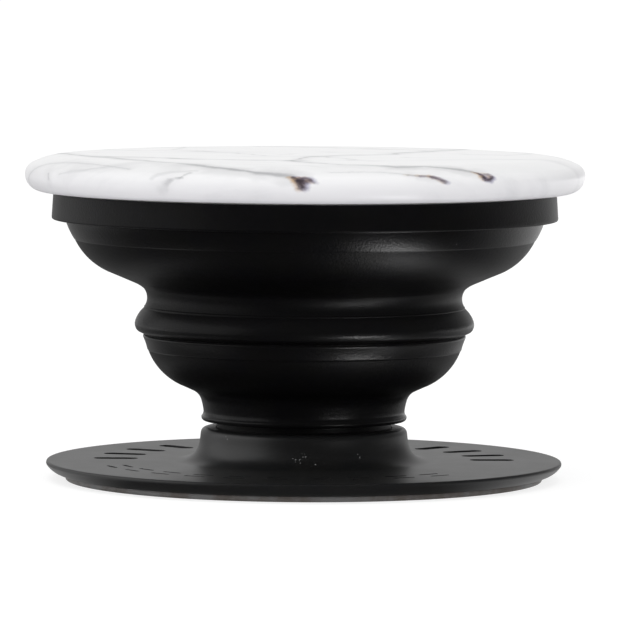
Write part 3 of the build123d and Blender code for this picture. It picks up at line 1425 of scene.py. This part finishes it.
@dataclass(frozen=True)
class Lamp:
    """A soft lamp, in millimetres and watts.

    Attributes:
        name: its name.
        place: where it stands.
        aim: the point that it faces.
        size: its width and height.
        watts: its power.
        mirrored: whether it shows in reflections.
        matt: whether it lights matt surfaces.
        spread: how wide its beam is, in degrees.
    """

    name: str
    place: Triple
    aim: Triple
    size: Point
    watts: float
    mirrored: bool = True
    matt: bool = True
    spread: float = 180.0

    def build(self) -> None:
        """Adds the lamp to the scene."""
        lamp = bpy.data.lights.new(self.name, "AREA")
        lamp.shape = "RECTANGLE"
        lamp.size, lamp.size_y = (s * MM for s in self.size)
        lamp.energy = self.watts
        lamp.spread = math.radians(self.spread)
        holder = bpy.data.objects.new(self.name, lamp)
        holder.location = Vector(self.place) * MM
        holder.rotation_euler = (Vector(self.aim) - Vector(self.place)).to_track_quat("-Z", "Y").to_euler()
        holder.visible_camera = False
        holder.visible_glossy = self.mirrored
        holder.visible_diffuse = self.matt
        bpy.context.scene.collection.objects.link(holder)


LAMPS = (
    Lamp("overhead", (-60.0, -140.0, 420.0), (0.0, 0.0, 12.0), (360.0, 360.0), 0.62, mirrored=False),
    Lamp("front_fill", (0.0, -520.0, 60.0), (0.0, 0.0, 14.0), (500.0, 160.0), 0.24, mirrored=False),
    Lamp("left_card", (-62.0, -9.0, 38.0), (0.0, -6.0, 37.0), (104.0, 76.0), 0.0168, matt=False),
    Lamp(
        "upper_patch", (14.0, -18.5, 2.9), (5.0, -15.8, 18.0), (13.0, 6.0), 0.00012, matt=False, spread=40.0
    ),
    Lamp(
        "lower_patch", (16.2, -25.0, 2.0), (4.0, -10.7, 9.9), (11.0, 4.0), 0.00018, matt=False, spread=40.0
    ),
)


@dataclass
class Studio:
    """Pale floor, white surroundings, lamps and the camera, in millimetres.

    Attributes:
        floor_size: side of the floor.
        floor_level: height of the floor, just under the sticky face.
        lamps: the lamps.
        fill: strength of the surroundings' light on the object.
        room: how bright the room in front looks in a reflection.
        sides: how much brighter the room's sides look there.
        backdrop: how much brighter the backdrop looks there.
        near_floor: how much brighter the floor beside the object looks there.
        right_floor: how much brighter again it looks on the right.
        far_floor: how much brighter the floor behind it looks there.
        rim_floor: how much brighter it looks close to the plate, at its left and right.
        rim_rest: how much brighter it looks close to the plate elsewhere.
        floor_colour: the floor's own colour, which lights the object from below.
        floor_shown: the plain colour that stands for the floor in a viewport.
        floor_seen: how much of the floor's white the camera sees as shade, and as glow.
        camera_place: where the camera stands.
        camera_aim: the point at the middle of the image.
        pixels_per_radian: the lens.
        image_width: width of the image, in pixels.
        roll: how far the camera is tipped, in degrees.
    """

    # Places and directions between which each reflection sets in, then the camera's own values
    NEAR: ClassVar[Point] = (-25.0, 40.0)
    FAR: ClassVar[Point] = (40.0, 300.0)
    TO_RIGHT: ClassVar[Point] = (5.0, 70.0)
    RIM: ClassVar[Point] = (26.0, 21.0)
    RIM_LEFT: ClassVar[Point] = (-12.0, -19.5)
    RIM_RIGHT: ClassVar[Point] = (9.0, 19.0)
    SIDES: ClassVar[Point] = (-1.0, 0.3)
    BACKDROP_FALL: ClassVar[float] = 6.0
    SENSOR: ClassVar[float] = 36.0
    CLIP: ClassVar[float] = 0.01

    floor_size: float = 6000.0
    floor_level: float = -0.02
    lamps: tuple[Lamp, ...] = LAMPS
    fill: float = 0.78
    room: float = 0.03
    sides: float = 0.06
    backdrop: float = 1.0
    near_floor: float = 0.3
    right_floor: float = 0.8
    far_floor: float = 0.5
    rim_floor: Point = (0.6, 0.7)
    rim_rest: float = 0.03
    floor_colour: Triple = (0.88, 0.87, 0.9)
    floor_shown: Triple = (0.85, 0.85, 0.85)
    floor_seen: Point = (0.3, 0.8)
    camera_place: Triple = (1.11, -412.0, 39.9)
    camera_aim: Triple = (1.11, 0.0, 11.39)
    pixels_per_radian: float = 5772.0
    image_width: float = 640.0
    roll: float = 0.3

    def build(self) -> None:
        """Builds the whole studio."""
        self._floor()
        self._world()
        for lamp in self.lamps:
            lamp.build()
        self._camera()
        bpy.context.scene.view_settings.view_transform = "Standard"

    def _floor(self) -> None:
        """Plain pale floor under the object."""
        half = self.floor_size * MM / 2
        sides = ((-half, -half), (half, -half), (half, half), (-half, half))
        mesh = bpy.data.meshes.new("floor")
        mesh.from_pydata([(*side, self.floor_level * MM) for side in sides], [], [(0, 1, 2, 3)])
        mesh.materials.append(self._floor_finish())
        floor = bpy.data.objects.new("floor", mesh)
        bpy.context.scene.collection.objects.link(floor)

    def _floor_finish(self) -> bpy.types.Material:
        """White with the object's shadow to the camera, pale to the object, a painted glow in reflections.

        Returns:
            The floor's material.
        """
        material, nodes = new_material("pale_floor", self.floor_shown)
        path = nodes.node("ShaderNodeLightPath", output="Is Camera Ray")
        place = millimetres(nodes)
        across = nodes.split(place)
        away = across.out("Y")
        near = away.band(*self.NEAR) * (across.band(*self.TO_RIGHT) * self.right_floor + self.near_floor)
        far = away.band(*self.FAR) * self.far_floor
        left, right = self.rim_floor
        beside = across.band(*self.RIM_LEFT) * left + across.band(*self.RIM_RIGHT) * right + self.rim_rest
        rim = nodes.length(place).band(*self.RIM) * beside
        plain = nodes.node("ShaderNodeBsdfDiffuse", {}, {"Color": (*self.floor_colour, 1.0)})
        # Painted glow: the floor gives off light that only reflections see, brighter beside, right of and
        # behind the object and close to the plate.
        painted_glow = nodes.node("ShaderNodeEmission", {}, {"Color": near + far + rim + self.room})
        shade, light = self.floor_seen
        veil = nodes.node("ShaderNodeBsdfDiffuse", {}, {"Color": (shade, shade, shade, 1.0)})
        glow = nodes.node("ShaderNodeEmission", {}, {"Color": (1.0, 1.0, 1.0, 1.0), "Strength": light})
        unseen = nodes.node("ShaderNodeMixShader", {}, {0: path.out("Is Glossy Ray"), 1: plain, 2: painted_glow})
        white = nodes.node("ShaderNodeAddShader", {}, {0: veil, 1: glow})
        both = nodes.node("ShaderNodeMixShader", {}, {0: path, 1: unseen, 2: white})
        nodes.node("ShaderNodeOutputMaterial", {}, {"Surface": both})
        return material

    def _world(self) -> None:
        """White to the camera, an even fill, and in reflections a dim room with a bright backdrop."""
        world = bpy.data.worlds.new("studio")
        world.use_nodes = True
        bpy.context.scene.world = world
        nodes = Nodes(world.node_tree)
        path = nodes.node("ShaderNodeLightPath", output="Is Camera Ray")
        behind = nodes.split(nodes.node("ShaderNodeTexCoord", output="Generated")).out("Y")
        mirror = behind.band(*self.SIDES) * self.sides + self.room
        mirror = mirror + behind.most(0.0).math("POWER", self.BACKDROP_FALL) * self.backdrop
        glossy = path.out("Is Glossy Ray")
        strength = glossy * mirror + (1 - glossy) * self.fill
        strength = path + (1 - path) * strength
        sky = nodes.node("ShaderNodeBackground", {}, {"Color": strength})
        nodes.node("ShaderNodeOutputWorld", {}, {"Surface": sky})

    def _camera(self) -> None:
        """Camera at the photograph's angle."""
        lens = bpy.data.cameras.new("camera")
        lens.sensor_width = self.SENSOR
        lens.lens = self.SENSOR * self.pixels_per_radian / self.image_width
        lens.clip_start = self.CLIP
        camera = bpy.data.objects.new("camera", lens)
        place, aim = Vector(self.camera_place), Vector(self.camera_aim)
        camera.location = place * MM
        turn = (aim - place).to_track_quat("-Z", "Y").to_matrix().to_3x3()
        tip = Euler((0.0, 0.0, math.radians(self.roll))).to_matrix()
        camera.rotation_euler = (turn @ tip).to_euler()
        bpy.context.scene.collection.objects.link(camera)
        bpy.context.scene.camera = camera


def main() -> None:
    """Builds the grip from the base up, then the studio."""
    logging.basicConfig(level=logging.INFO, format="%(name)s: %(message)s")
    shop = Workshop()
    for assembly in (Base(shop), Accordion(shop), Button(shop)):
        assembly.build()
    Studio().build()


if __name__ == "__main__":
    main()
